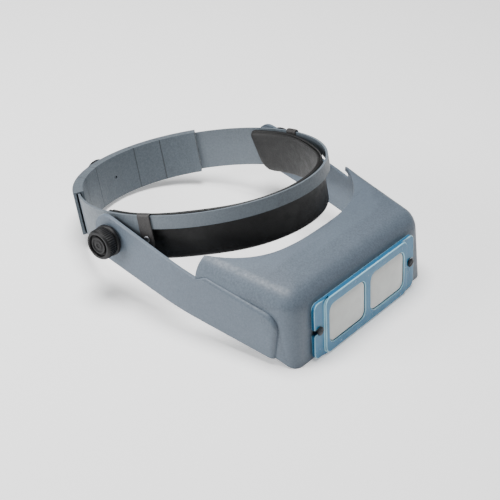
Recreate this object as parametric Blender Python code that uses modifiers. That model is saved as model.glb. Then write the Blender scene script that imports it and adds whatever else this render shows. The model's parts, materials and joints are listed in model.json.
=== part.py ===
"""Head visor magnifier: a sized headband with a tilting visor that carries a plate of two lenses.

Metres, +Z up, -Y is the wearer's front, +X the wearer's left. The visor stands on its lower front
edge and on the rear of the headband. The headband is built level in its own frame and tipped back.
"""
import math

import bmesh
import bpy
from mathutils import Matrix, Vector

MM = 0.001
OBJECT_NAME = "head_visor_magnifier"
SIDE_NAME = {-1: "right", 1: "left"}

# Headband: an oval, measured at the middle of its strip, tipped back so that its front is higher
OVAL_HALF_WIDTH = 83.1 * MM
OVAL_HALF_LENGTH = 93.7 * MM
BAND_CENTRE = Vector((0, 18.4, 44.9)) * MM
BAND_TIP_BACK = math.radians(17.35)
BAND_HEIGHT = 29.4 * MM
BAND_THICKNESS = 1.6 * MM
BROW_STRIP_HEIGHT = 9.2 * MM
BROW_STRIP_STARTS = -19.5 * MM
BROW_STRIP_EASE = 3 * MM
BAND_STEPS = 72
GAP = 0.3 * MM

# Rear sleeve, which holds the two tails of the band
SLEEVE_MOUTH = 61.5 * MM
SLEEVE_HEIGHT = 31.9 * MM
SLEEVE_OUTSIDE = 4.1 * MM
SLEEVE_INSIDE = 3.5 * MM
SLEEVE_CAVITY_HALF = 1.9 * MM
SLEEVE_EYELET_RADIUS = 1.1 * MM
TAIL_END_X = 10 * MM

# Comfort band: a backing and a leather pad, inside the band from temple to temple
PAD_HEIGHT = 32.4 * MM
PAD_TOP = 14.4 * MM
PAD_END_TOP = 19 * MM
PAD_END_BOTTOM = 10.5 * MM
BACKING_OFFSET = 3.0 * MM
BACKING_THICKNESS = 1.2 * MM
LEATHER_THICKNESS = 3.0 * MM
PAD_CORNER_SLACK = 2.6 * MM

# Leather tabs that tie the comfort band to the strip
TAB_CENTRE_Y = -20.5 * MM
TAB_WIDTH = 9.8 * MM
TAB_THICKNESS = 1.1 * MM
TAB_BOTTOM = -7.5 * MM
RIVET_HEIGHT = -1.0 * MM
RIVET_RADIUS = 2.3 * MM

# Pivots: one bolt through band, spacer, friction washer, visor arm and knob on each side
PIVOT_Y = 7.4 * MM
PIVOT_Z = -1.5 * MM
BOLT_RADIUS = 2.5 * MM
BOLT_HOLE_RADIUS = 2.8 * MM
BOLT_HEAD_RADIUS = 6 * MM
KNOB_RADIUS = 10.6 * MM
KNOB_DEPTH = 10.9 * MM
KNOB_FACE_X = 102.2 * MM
REAR_KNOB_RADIUS = 12.2 * MM
REAR_KNOB_DEPTH = 12.6 * MM

# Visor: side arms that run on over the hood's side walls as round-edged panels
ARM_OUTER_X = 90.0 * MM
ARM_THICKNESS = 2.8 * MM
ARM_END_Y = 38.7 * MM
ARM_END_RADIUS = 13 * MM
ARM_TOP_AT_PIVOT = 57.2 * MM
ARM_TOP_FALL = 0.204
ARM_BOTTOM_AT_PIVOT = 24.4 * MM
ARM_BOTTOM_KNEE_Y = -37.7 * MM
ARM_BOTTOM_FALL = 0.159
ARM_FRONT_FALL = 0.142
ARM_EDGE_RADIUS = 0.5 * MM
SIDE_TAPER = 0.138
SIDE_TAPER_STARTS = -36.7 * MM
SIDE_TAPER_SOFTNESS = 6 * MM

# Hood
HOOD_REAR_Y = -47.2 * MM
HOOD_TILT = math.radians(7.6)
HOOD_WALL = 3.0 * MM
HOOD_EXTRA_TAPER = 0.036
HOOD_DRAFT = 0.015
DECK_REAR_HEIGHT = 60.9 * MM
DECK_FALL = 0.145
DECK_FOLD_X = 27 * MM
DECK_FOLD_Y = -81.2 * MM
DECK_FOLD_FALL = 0.05
DECK_FOLD_NARROWEST = 4 * MM
DECK_FOLD_MARGIN = 5 * MM
HOOD_EDGE_RADIUS = 12 * MM
HOOD_LOW_CORNER = 0.6
HOOD_BURIED_LENGTH = 30 * MM
PANEL_FRONT_Y = -108.5 * MM
PANEL_CORNER = 10 * MM
PANEL_RISE = 4.6 * MM
PANEL_RISE_LENGTH = 8 * MM
PANEL_EDGE_HEIGHT = 2.5 * MM
PANEL_EDGE_LENGTH = 3.4 * MM
PANEL_SINK = 0.25 * MM
BELLY_FRONT_FALL = 0.35
BROW_ARC_DEPTH = 34 * MM
BROW_ARC_HALF_WIDTH = 79 * MM

# Lens plate
PLATE_CENTRE = Vector((0, -125.7, 21.3)) * MM
PLATE_WIDTH = 117.5 * MM
PLATE_HEIGHT = 41.4 * MM
PLATE_THICKNESS = 3.0 * MM
PLATE_RAISED_WIDTH = 96 * MM
PLATE_RAISED_BY = 1.6 * MM
PLATE_CORNER = 5 * MM
LENS_CENTRE_X = 23.6 * MM
LENS_WIDTH = 40.7 * MM
LENS_HEIGHT = 28.8 * MM
LENS_CORNER = 5.5 * MM
LENS_THICKNESS = 3.6 * MM
SCREW_X = 53.4 * MM
SCREW_RADIUS = 1.5 * MM
SCREW_HEAD_RADIUS = 3.0 * MM
HOOD_FRONT_Y = (PLATE_CENTRE.y + (PLATE_THICKNESS + PLATE_RAISED_BY + GAP) / math.cos(HOOD_TILT)
                - PLATE_CENTRE.z * math.tan(HOOD_TILT))

COLOURS = {
    "grey": ((0.21, 0.25, 0.30), 0.55, 0.0),
    "dark": ((0.012, 0.012, 0.014), 0.45, 0.0),
    "leather": ((0.06, 0.055, 0.055), 0.6, 0.0),
    "tab": ((0.09, 0.08, 0.08), 0.65, 0.0),
    "blue": ((0.10, 0.36, 0.62), 0.15, 0.0),
    "glass": ((0.75, 0.78, 0.72), 0.05, 0.0),
    "steel": ((0.55, 0.56, 0.58), 0.3, 1.0),
    "rivet": ((0.55, 0.56, 0.58), 0.35, 0.6),
    "cap": ((0.16, 0.16, 0.17), 0.4, 0.0),
}


# ---------------------------------------------------------------- scene

def clear_scene():
    for obj in list(bpy.data.objects):
        bpy.data.objects.remove(obj)


def collection(name):
    group = bpy.data.collections.new(name)
    bpy.context.scene.collection.children.link(group)
    return group


def material(name, colour_key):
    colour, roughness, metallic = COLOURS[colour_key]
    mat = bpy.data.materials.new(name)
    mat.use_nodes = True
    shader = mat.node_tree.nodes["Principled BSDF"]
    shader.inputs["Base Color"].default_value = (*colour, 1)
    shader.inputs["Roughness"].default_value = roughness
    shader.inputs["Metallic"].default_value = metallic
    mat.diffuse_color = (*colour, 1)
    return mat


def empty(name, matrix):
    frame = bpy.data.objects.new(name, None)
    PARTS.objects.link(frame)
    frame.matrix_world = matrix
    return frame


def part(name, bm, colour_key, parent=None, matrix=None):
    """Turn a bmesh into a named part. matrix places it in its parent's frame."""
    mesh = bpy.data.meshes.new(name)
    bmesh.ops.recalc_face_normals(bm, faces=bm.faces)
    bm.to_mesh(mesh)
    bm.free()
    obj = bpy.data.objects.new(name, mesh)
    PARTS.objects.link(obj)
    obj.parent = parent
    if matrix is not None:
        obj.matrix_local = matrix
    mesh.materials.append(material(name, colour_key))
    return obj


def cutter(name, bm, parent=None, matrix=None):
    obj = part(name, bm, "dark", parent, matrix)
    PARTS.objects.unlink(obj)
    CUTTERS.objects.link(obj)
    obj.hide_render = True
    obj.display_type = "WIRE"
    return obj


def boolean(target, tool, operation="DIFFERENCE"):
    mod = target.modifiers.new(operation.lower(), "BOOLEAN")
    mod.operation = operation
    mod.solver = "EXACT"
    mod.object = tool
    return mod


def bevel(target, width, segments=2, angle=40):
    mod = target.modifiers.new("soft_edges", "BEVEL")
    mod.width = width
    mod.segments = segments
    mod.limit_method = "ANGLE"
    mod.angle_limit = math.radians(angle)
    return mod


# ---------------------------------------------------------------- shapes

def cylinder(radius, low, high, segments=32):
    bm = bmesh.new()
    bmesh.ops.create_cone(bm, cap_ends=True, segments=segments, radius1=radius, radius2=radius,
                          depth=high - low)
    bmesh.ops.translate(bm, vec=(0, 0, (low + high) / 2), verts=bm.verts)
    return bm


def box(size, centre=(0, 0, 0)):
    bm = bmesh.new()
    bmesh.ops.create_cube(bm, size=1)
    bmesh.ops.scale(bm, vec=size, verts=bm.verts)
    bmesh.ops.translate(bm, vec=centre, verts=bm.verts)
    return bm


def turned(name, profile, colour_key, parent, matrix, steps=40):
    """A solid of revolution about local Z. The profile runs down the outer side, axis to axis."""
    bm = bmesh.new()
    verts = [bm.verts.new((radius, 0, height)) for radius, height in profile]
    for first, second in zip(verts, verts[1:]):
        bm.edges.new((first, second))
    obj = part(name, bm, colour_key, parent, matrix)
    screw = obj.modifiers.new("turn", "SCREW")
    screw.steps = steps
    screw.render_steps = steps
    screw.use_merge_vertices = True
    screw.merge_threshold = 0.00001
    return obj


def rounded_rectangle(width, height, radius, corner_steps=6):
    """Corner points of a rounded rectangle in X and Z, going round once."""
    points = []
    for quarter in range(4):
        side_x = 1 if quarter in (0, 3) else -1
        side_z = 1 if quarter in (0, 1) else -1
        centre = (side_x * (width / 2 - radius), side_z * (height / 2 - radius))
        for step in range(corner_steps + 1):
            angle = math.pi / 2 * (quarter + step / corner_steps)
            points.append((centre[0] + radius * math.cos(angle), centre[1] + radius * math.sin(angle)))
    return points


def slab(outline, y_low, y_high):
    """A flat outline in X and Z, given thickness along Y."""
    bm = bmesh.new()
    face = bm.faces.new([bm.verts.new((x, y_low, z)) for x, z in outline])
    moved = bmesh.ops.extrude_face_region(bm, geom=[face])["geom"]
    bmesh.ops.translate(bm, vec=(0, y_high - y_low, 0),
                        verts=[item for item in moved if isinstance(item, bmesh.types.BMVert)])
    return bm


def loft(sections):
    """Join rings of equal length, one after the other, and close the two ends."""
    bm = bmesh.new()
    rings = [[bm.verts.new(point) for point in ring] for ring in sections]
    count = len(rings[0])
    for ring, following in zip(rings, rings[1:]):
        for index in range(count):
            other = (index + 1) % count
            bm.faces.new((ring[index], ring[other], following[other], following[index]))
    bm.faces.new(rings[0])
    bm.faces.new(rings[-1])
    return bm


# ---------------------------------------------------------------- headband oval

def oval_point(angle, offset=0.0):
    """A point on the oval, moved outwards by offset. The angle is 0 at +X and 90 degrees at the rear."""
    x = OVAL_HALF_WIDTH * math.cos(angle)
    y = OVAL_HALF_LENGTH * math.sin(angle)
    normal = Vector((OVAL_HALF_LENGTH * math.cos(angle), OVAL_HALF_WIDTH * math.sin(angle), 0))
    normal.normalize()
    return Vector((x, y, 0)) + normal * offset


def oval_angle(y):
    """The angle on the oval's +X side at which it has this y."""
    return math.asin(y / OVAL_HALF_LENGTH)


def hoop(start, end, steps, section):
    """Sweep a four-cornered section along the oval. section(angle) gives inner, outer, low, high."""
    rings = []
    for step in range(steps + 1):
        angle = start + (end - start) * step / steps
        inner, outer, low, high = section(angle)
        ring = []
        for offset, height in ((inner, low), (outer, low), (outer, high), (inner, high)):
            ring.append(oval_point(angle, offset) + Vector((0, 0, height)))
        rings.append(ring)
    return loft(rings)


def eased(value, low, high):
    """0 below low, 1 above high, and a smooth step in between."""
    t = min(max((value - low) / (high - low), 0.0), 1.0)
    return t * t * (3 - 2 * t)


def build_front_band():
    """One grey strip, full height at the temples and narrow across the brow."""
    def section(angle):
        y = OVAL_HALF_LENGTH * math.sin(angle)
        full = eased(y, BROW_STRIP_STARTS - BROW_STRIP_EASE, BROW_STRIP_STARTS + BROW_STRIP_EASE)
        low = BAND_HEIGHT / 2 - BROW_STRIP_HEIGHT - full * (BAND_HEIGHT - BROW_STRIP_HEIGHT)
        return -BAND_THICKNESS / 2, BAND_THICKNESS / 2, low, BAND_HEIGHT / 2
    rear = oval_angle(SLEEVE_MOUTH - GAP)
    bm = hoop(-math.pi - rear, rear, BAND_STEPS, section)
    band = part("front_band", bm, "grey", HEAD_FRAME)
    for side in (-1, 1):
        boolean(band, cutter(f"bolt_hole_cutter_{SIDE_NAME[side]}",
                             cylinder(BOLT_HOLE_RADIUS, 70 * MM, 96 * MM), HEAD_FRAME, pivot_matrix(side)))
    return band


def build_tails():
    """The two ends of the band, inside the sleeve."""
    for side in (-1, 1):
        start = oval_angle(SLEEVE_MOUTH)
        end = math.acos(TAIL_END_X / OVAL_HALF_WIDTH)
        if side < 0:
            start, end = math.pi - start, math.pi - end
        half = BAND_THICKNESS / 2
        bm = hoop(start, end, 20, lambda angle: (-half, half, -BAND_HEIGHT / 2, BAND_HEIGHT / 2))
        part(f"band_tail_{SIDE_NAME[side]}", bm, "grey", HEAD_FRAME)


def build_sleeve():
    """A flat curved tube with open mouths, and holes for the clamp bolt at its middle."""
    start = oval_angle(SLEEVE_MOUTH)
    half = SLEEVE_HEIGHT / 2
    outside = hoop(start, math.pi - start, 40, lambda angle: (-SLEEVE_INSIDE, SLEEVE_OUTSIDE, -half, half))
    sleeve = part("rear_sleeve", outside, "grey", HEAD_FRAME)
    beyond = 0.04
    rim = half - BAND_HEIGHT / 2 - GAP
    cavity = hoop(start - beyond, math.pi - start + beyond, 44,
                  lambda angle: (-SLEEVE_CAVITY_HALF, SLEEVE_CAVITY_HALF, rim - half, half - rim))
    boolean(sleeve, cutter("sleeve_cavity_cutter", cavity, HEAD_FRAME))
    for name, radius, low, high in (("sleeve_bolt_cutter", BOLT_HOLE_RADIUS, 0, 20 * MM),
                                    ("sleeve_eyelet_cutter", SLEEVE_EYELET_RADIUS, -20 * MM, 0)):
        hole = cylinder(radius, OVAL_HALF_LENGTH + low, OVAL_HALF_LENGTH + high, 24)
        boolean(sleeve, cutter(name, hole, HEAD_FRAME, rear_matrix()))
    return sleeve


def pad_offset(angle, offset):
    """The pad leaves the strip a little at the two front corners."""
    corner = math.exp(-((abs(math.degrees(angle) + 90) - 55) / 18) ** 2)
    return offset + PAD_CORNER_SLACK * corner


def build_comfort_band():
    """A backing sheet and a leather pad. Both ends slope, longer at the top than at the bottom."""
    top_angle = oval_angle(PAD_END_TOP)
    low_angle = oval_angle(PAD_END_BOTTOM)
    layers = (("comfort_backing", BACKING_OFFSET, BACKING_THICKNESS, "dark", 0.0),
              ("comfort_pad", BACKING_OFFSET + BACKING_THICKNESS + GAP, LEATHER_THICKNESS, "leather", 0.6 * MM))
    for name, offset, thickness, colour_key, shorter in layers:
        rings = []
        for step in range(BAND_STEPS + 1):
            across = 2 * step / BAND_STEPS - 1
            ring = []
            for depth, low in ((1, True), (0, True), (0, False), (1, False)):
                reach = math.pi / 2 + (low_angle if low else top_angle)
                angle = -math.pi / 2 + across * reach
                point = oval_point(angle, -pad_offset(angle, offset + depth * thickness))
                height = PAD_TOP - PAD_HEIGHT + shorter if low else PAD_TOP - shorter
                ring.append(point + Vector((0, 0, height)))
            rings.append(ring)
        pad = part(name, loft(rings), colour_key, HEAD_FRAME)
        bevel(pad, 0.35 * MM if thickness < 2 * MM else 1.0 * MM, 1 if thickness < 2 * MM else 2, 60)


def build_tabs():
    """A leather strap over the strip on each side, held by a rivet."""
    band_half = BAND_THICKNESS / 2
    for side in (-1, 1):
        middle = oval_angle(TAB_CENTRE_Y)
        half = TAB_WIDTH / 2 / OVAL_HALF_LENGTH
        start, end = (middle - half, middle + half)
        if side < 0:
            start, end = math.pi - start, math.pi - end
        out = band_half + GAP
        top = BAND_HEIGHT / 2 + GAP
        inner_bottom = BAND_HEIGHT / 2 - 7 * MM
        profile = [(out, TAB_BOTTOM), (out + TAB_THICKNESS, TAB_BOTTOM),
                   (out + TAB_THICKNESS, top + TAB_THICKNESS * 0.6), (out + TAB_THICKNESS * 0.5, top + TAB_THICKNESS),
                   (-out - TAB_THICKNESS * 0.5, top + TAB_THICKNESS), (-out - TAB_THICKNESS, top + TAB_THICKNESS * 0.6),
                   (-out - TAB_THICKNESS, inner_bottom), (-out, inner_bottom), (-out, top), (out, top)]
        rings = []
        for step in range(9):
            angle = start + (end - start) * step / 8
            rings.append([oval_point(angle, offset) + Vector((0, 0, height)) for offset, height in profile])
        tab = part(f"comfort_tab_{SIDE_NAME[side]}", loft(rings), "tab", HEAD_FRAME)
        angle = middle if side > 0 else math.pi - middle
        outward = oval_point(angle, 1.0) - oval_point(angle, 0.0)
        place = (Matrix.Translation(oval_point(angle) + Vector((0, 0, RIVET_HEIGHT)))
                 @ outward.to_track_quat("Z", "Y").to_matrix().to_4x4())
        boolean(tab, cutter(f"rivet_hole_cutter_{SIDE_NAME[side]}",
                            cylinder(1.3 * MM, -1 * MM, 6 * MM, 16), HEAD_FRAME, place))
        base = band_half + GAP
        face = out + TAB_THICKNESS + GAP
        profile = ((0, face + 0.9 * MM), (RIVET_RADIUS * 0.7, face + 0.7 * MM), (RIVET_RADIUS, face + 0.2 * MM),
                   (RIVET_RADIUS, face), (1.0 * MM, face), (1.0 * MM, base), (0, base))
        turned(f"tab_rivet_{SIDE_NAME[side]}", profile, "rivet", HEAD_FRAME, place, 20)


# ---------------------------------------------------------------- pivots and knobs

def pivot_matrix(side):
    """Local +Z points outwards along the tilt axis of the visor."""
    return Matrix.Translation((0, PIVOT_Y, PIVOT_Z)) @ Matrix.Rotation(side * math.pi / 2, 4, "Y")


def rear_matrix():
    """Local +Z points backwards from the middle of the oval, at mid height."""
    return Matrix.Rotation(-math.pi / 2, 4, "X")


def knob_profile(radius, depth, base):
    """Profile of a knob with a flange, a grip, a ring groove and a blind hole for its bolt."""
    face = base + depth
    hole_end = base + depth * 0.62
    return ((0, face - 2.2 * MM), (radius * 0.72, face - 2.2 * MM), (radius * 0.76, face - 0.2 * MM),
            (radius * 0.90, face), (radius, face - 1.0 * MM), (radius, base + 3.2 * MM),
            (radius + 0.5 * MM, base + 2.6 * MM), (radius + 0.5 * MM, base + 0.5 * MM), (radius, base),
            (BOLT_HOLE_RADIUS, base), (BOLT_HOLE_RADIUS, hole_end), (0, hole_end))


def washer_profile(inner, outer, low, high):
    return ((inner, high), (outer, high), (outer, low), (inner, low), (inner, high))


def build_clamp_set(prefix, suffix, parent, matrix, radius, depth, base):
    """A knob, the cap set in its face and the steel washer under it."""
    turned(f"{prefix}_knob{suffix}", knob_profile(radius, depth, base), "dark", parent, matrix, 36)
    floor = base + depth - 2.2 * MM + GAP
    cap_radius = radius * 0.58
    cap = ((0, floor + 1.5 * MM), (cap_radius - 0.5 * MM, floor + 1.5 * MM), (cap_radius, floor + 1.1 * MM),
           (cap_radius, floor), (0, floor))
    turned(f"{prefix}_knob_cap{suffix}", cap, "cap", parent, matrix, 32)
    turned(f"{prefix}_washer{suffix}", washer_profile(BOLT_HOLE_RADIUS, 8.2 * MM, base - GAP - 0.8 * MM, base - GAP),
           "steel", parent, matrix, 32)


def bolt_profile(head_low, head_high, head_radius, tip):
    return ((0, tip), (BOLT_RADIUS - 0.4 * MM, tip), (BOLT_RADIUS, tip - 0.4 * MM), (BOLT_RADIUS, head_high),
            (head_radius, head_high), (head_radius, head_low + 0.4 * MM), (head_radius - 0.5 * MM, head_low),
            (0, head_low))


def build_pivots():
    band_out = oval_point(oval_angle(PIVOT_Y), BAND_THICKNESS / 2).x
    band_in = band_out - BAND_THICKNESS
    arm_in = ARM_OUTER_X - ARM_THICKNESS
    knob_base = KNOB_FACE_X - KNOB_DEPTH
    for side in (-1, 1):
        suffix = f"_{SIDE_NAME[side]}"
        matrix = pivot_matrix(side)
        head_high = band_in - 2 * GAP - 0.15 * MM
        turned(f"pivot_bolt{suffix}", bolt_profile(head_high - 1.0 * MM, head_high, BOLT_HEAD_RADIUS, 98 * MM),
               "steel", HEAD_FRAME, matrix, 24)
        spacer_low = band_out + GAP
        friction_high = arm_in - GAP
        friction_low = friction_high - 1.2 * MM
        turned(f"pivot_spacer{suffix}", washer_profile(BOLT_HOLE_RADIUS, 8.5 * MM, spacer_low, friction_low - GAP),
               "grey", HEAD_FRAME, matrix, 32)
        turned(f"friction_washer{suffix}", washer_profile(BOLT_HOLE_RADIUS, 9.5 * MM, friction_low, friction_high),
               "dark", HEAD_FRAME, matrix, 32)
        build_clamp_set("pivot", suffix, HEAD_FRAME, matrix, KNOB_RADIUS, KNOB_DEPTH, knob_base)


def build_rear_clamp():
    """The size clamp: a bolt from inside the sleeve through its outer wall, and a knob behind."""
    wall_inner = OVAL_HALF_LENGTH + SLEEVE_CAVITY_HALF
    knob_base = OVAL_HALF_LENGTH + SLEEVE_OUTSIDE + 2 * GAP + 0.8 * MM
    matrix = rear_matrix()
    head_high = wall_inner - GAP - 0.4 * MM
    head_radius = 7 * MM
    turned("clamp_bolt", bolt_profile(head_high - 1.6 * MM, head_high, head_radius, knob_base + 6 * MM),
           "steel", HEAD_FRAME, matrix, 24)
    build_clamp_set("clamp", "", HEAD_FRAME, matrix, REAR_KNOB_RADIUS, REAR_KNOB_DEPTH, knob_base)


# ---------------------------------------------------------------- visor

def side_half_width(y):
    """Outer half width of the arms and side panels: parallel at the pivots, narrowing to the front."""
    bend = math.log1p(math.exp((SIDE_TAPER_STARTS - y) / SIDE_TAPER_SOFTNESS)) * SIDE_TAPER_SOFTNESS
    return ARM_OUTER_X - SIDE_TAPER * bend


def arm_top(y):
    return ARM_TOP_AT_PIVOT - ARM_TOP_FALL * (PIVOT.y - y)


def arm_bottom(y):
    knee = ARM_BOTTOM_AT_PIVOT - ARM_BOTTOM_FALL * (PIVOT.y - ARM_BOTTOM_KNEE_Y)
    if y > ARM_BOTTOM_KNEE_Y:
        return ARM_BOTTOM_AT_PIVOT - ARM_BOTTOM_FALL * (PIVOT.y - y)
    return knee - ARM_FRONT_FALL * (ARM_BOTTOM_KNEE_Y - y)


def hood_half_width(y):
    """Outer half width of the hood's own side walls: they draw in under the panels towards the front."""
    return side_half_width(y) - HOOD_EXTRA_TAPER * (HOOD_REAR_Y - y)


def panel_top(y):
    """Top border of an arm: it rises where it becomes the hood's side panel, and ends in a rounded corner."""
    rise = PANEL_RISE * eased(HOOD_REAR_Y - y, 0.0, PANEL_RISE_LENGTH)
    past_corner = max(PANEL_FRONT_Y + PANEL_CORNER - y, 0.0)
    drop = PANEL_CORNER - math.sqrt(max(PANEL_CORNER ** 2 - past_corner ** 2, 0.0))
    return arm_top(y) + rise - drop


def arm_ring(y, side):
    """Section of an arm at y. The end behind the pivot is rounded, and so are the panel's top and front edges."""
    radius = ARM_END_RADIUS
    start = ARM_END_Y - radius
    drop = radius - math.sqrt(max(radius ** 2 - max(y - start, 0.0) ** 2, 0.0))
    top = panel_top(y) - drop
    low = arm_bottom(y) + drop
    outer = side_half_width(y)
    inner = min(outer, hood_half_width(y)) - ARM_THICKNESS
    on_panel = eased(HOOD_REAR_Y - y, 0.0, PANEL_RISE_LENGTH)
    step_depth = outer - hood_half_width(y) + HOOD_DRAFT * top + PANEL_SINK
    past_front = min(max(PANEL_FRONT_Y + PANEL_EDGE_LENGTH - y, 0.0) / PANEL_EDGE_LENGTH, 1.0)
    outer -= step_depth * (1 - math.sqrt(1 - past_front ** 2))
    edge_depth = ARM_EDGE_RADIUS + (step_depth - ARM_EDGE_RADIUS) * on_panel
    edge_depth = min(edge_depth, outer - inner - PANEL_SINK)
    edge_height = ARM_EDGE_RADIUS + (PANEL_EDGE_HEIGHT - ARM_EDGE_RADIUS) * on_panel
    ring = [Vector((side * inner, y, low)), Vector((side * outer, y, low))]
    for step in range(5):
        turn = math.pi / 2 * step / 4
        ring.append(Vector((side * (outer - edge_depth * (1 - math.cos(turn))), y,
                            top - edge_height * (1 - math.sin(turn)))))
    return ring + [Vector((side * inner, y, top))]


def arm_stations():
    radius = ARM_END_RADIUS
    start = ARM_END_Y - radius
    stations = [start + radius * math.sin(math.pi / 2 * step / 8) for step in range(8, -1, -1)]
    corner = PANEL_FRONT_Y + PANEL_CORNER
    for low, high, count in ((HOOD_REAR_Y, start, 12), (HOOD_REAR_Y - PANEL_RISE_LENGTH, HOOD_REAR_Y, 5),
                             (corner, HOOD_REAR_Y - PANEL_RISE_LENGTH, 7)):
        stations += [high + (low - high) * step / count for step in range(1, count + 1)]
    return stations + [corner - PANEL_CORNER * math.sin(math.pi / 2 * step / 12) for step in range(1, 13)]


def build_arm(side):
    rings = [arm_ring(y, side) for y in arm_stations()]
    return cutter(f"arm_{SIDE_NAME[side]}", loft(rings))


def hood_block(inset, extend):
    """A rounded block, narrower in front than behind, that is the hood's outside or its inside."""
    half, length, height = 80 * MM, 100 * MM, 60 * MM
    radius = HOOD_EDGE_RADIUS - inset
    bm = box((2 * half, length, height), (0, length / 2, height / 2))

    def rounded(edge):
        first, second = (vert.co for vert in edge.verts)
        front = max(first.y, second.y) < 1e-6
        top = min(first.z, second.z) > height - 1e-6
        upright = abs(first.z - second.z) > 1e-6
        along = abs(first.y - second.y) > 1e-6
        return (front and upright) or (front and top) or (top and along)

    bmesh.ops.bevel(bm, geom=[edge for edge in bm.edges if rounded(edge)], offset=radius,
                    offset_type="OFFSET", segments=6, profile=0.5, affect="EDGES")
    cuts = [edge for edge in bm.edges if abs(edge.verts[0].co.y - edge.verts[1].co.y) > 0.5 * length]
    bmesh.ops.subdivide_edges(bm, edges=cuts, cuts=10, use_grid_fill=True)
    cuts = [edge for edge in bm.edges if abs(edge.verts[0].co.x - edge.verts[1].co.x) > half]
    bmesh.ops.subdivide_edges(bm, edges=cuts, cuts=2, use_grid_fill=True)
    for vert in bm.verts:
        from_rear = 1 - vert.co.y / length
        from_top = height - vert.co.z
        if vert.co.z < height / 2:
            from_top = None
        vert.co = hood_point(vert.co, half, from_rear, from_top, inset, extend)
    return bm


def hood_point(point, half, from_rear, from_top, inset, extend):
    """Where a point of the plain block goes on the hood: taper, draft, tilted front, sloping deck.

    from_rear is 1 at the front and 0 at the rear. from_top is None for the points of the lower rim,
    where the upright front corners are tighter than they are at the deck.
    """
    front = HOOD_FRONT_Y + inset
    rear = HOOD_REAR_Y + HOOD_BURIED_LENGTH
    tightness = HOOD_LOW_CORNER if from_top is None else 1.0
    if point.y < HOOD_EDGE_RADIUS:
        from_rear = 1 - (1 - from_rear) * tightness
    y = rear + (front - rear) * from_rear
    deck = DECK_REAR_HEIGHT - DECK_FALL * (HOOD_REAR_Y - y) - inset
    z = -extend if from_top is None else deck - from_top
    wall = hood_half_width(y) - HOOD_DRAFT * z - inset
    fold = deck_fold(y)
    on_fold = abs(point.x) < half / 2
    x = fold if on_fold else wall - (half - abs(point.x)) * tightness
    if from_top is not None:
        z -= DECK_FOLD_FALL * max(x - fold, 0.0)
    return Vector((math.copysign(x, point.x), y + math.tan(HOOD_TILT) * z * from_rear, z))


def deck_fold(y):
    """Where the deck's flat middle folds down to its sides: from the brow out to the front corners."""
    outermost = hood_half_width(y) - HOOD_EDGE_RADIUS - DECK_FOLD_MARGIN
    return min(max(DECK_FOLD_X + DECK_FOLD_Y - y, DECK_FOLD_NARROWEST), outermost)


def brow_line(x):
    """Rear edge of the deck: deep over the nose, and straight across behind the two tips."""
    share = min(abs(x) / BROW_ARC_HALF_WIDTH, 1.0)
    return HOOD_REAR_Y - BROW_ARC_DEPTH * (1 - share ** 3.2) ** 0.9


def brow_cutter():
    """Everything behind the brow line, above and between the arms."""
    count = 40
    reach = 110 * MM
    outline = []
    for step in range(count + 1):
        x = -BROW_ARC_HALF_WIDTH + 2 * BROW_ARC_HALF_WIDTH * step / count
        outline.append((x, brow_line(x)))
    outline = [(-reach, HOOD_REAR_Y)] + outline + [(reach, HOOD_REAR_Y), (reach, 60 * MM), (-reach, 60 * MM)]
    return loft([[Vector((x, y, -20 * MM)) for x, y in outline], [Vector((x, y, 90 * MM)) for x, y in outline]])


def belly_cutter():
    """Everything under the lower edge of the hood: along the arms, and steeper in front of the panels."""
    front, rear = HOOD_FRONT_Y - 10 * MM, ARM_END_Y
    under_panel = arm_bottom(PANEL_FRONT_Y) + GAP
    at_rear = under_panel + ARM_FRONT_FALL * (rear - PANEL_FRONT_Y)
    at_front = under_panel - BELLY_FRONT_FALL * (PANEL_FRONT_Y - front)
    outline = [(front, at_front), (PANEL_FRONT_Y, under_panel), (rear, at_rear),
               (rear, -30 * MM), (front, -30 * MM)]
    return loft([[Vector((x, y, z)) for y, z in outline] for x in (-110 * MM, 110 * MM)])


def build_visor():
    """One moulding: hood, side panels and arms, with its window, screw holes and bolt holes."""
    origin = Matrix.Translation(PIVOT)
    shell_mesh = hood_block(0.0, 0.0)
    shell_mesh.transform(origin.inverted())
    shell = part("visor_shell", shell_mesh, "grey", None, origin)
    boolean(shell, cutter("hood_inside", hood_block(HOOD_WALL, 20 * MM)))
    boolean(shell, cutter("brow_cutter", brow_cutter()))
    boolean(shell, cutter("belly_cutter", belly_cutter()))
    for side in (-1, 1):
        boolean(shell, build_arm(side), "UNION")
    floor = box((300 * MM, 300 * MM, 20 * MM), (0, -50 * MM, -10 * MM))
    boolean(shell, cutter("floor_cutter", floor))
    window = slab(rounded_rectangle(PLATE_RAISED_WIDTH - 4 * MM, LENS_HEIGHT + 6 * MM, LENS_CORNER),
                  -10 * MM, 14 * MM)
    boolean(shell, cutter("window_cutter", window, None, PLATE_MATRIX))
    for side in (-1, 1):
        hole = cylinder(SCREW_RADIUS + 1.0 * MM, -14 * MM, 14 * MM, 20)
        boolean(shell, cutter(f"screw_hole_cutter_{SIDE_NAME[side]}", hole, None, screw_matrix(side)))
        bolt = cylinder(BOLT_HOLE_RADIUS, 80 * MM, 100 * MM, 24)
        boolean(shell, cutter(f"arm_hole_cutter_{SIDE_NAME[side]}", bolt, HEAD_FRAME, pivot_matrix(side)))
    return shell


# ---------------------------------------------------------------- lens plate

def screw_matrix(side):
    """Local +Z points forwards, out of the plate."""
    return PLATE_MATRIX @ Matrix.Translation((side * SCREW_X, 0, 0)) @ Matrix.Rotation(math.pi / 2, 4, "X")


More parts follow.
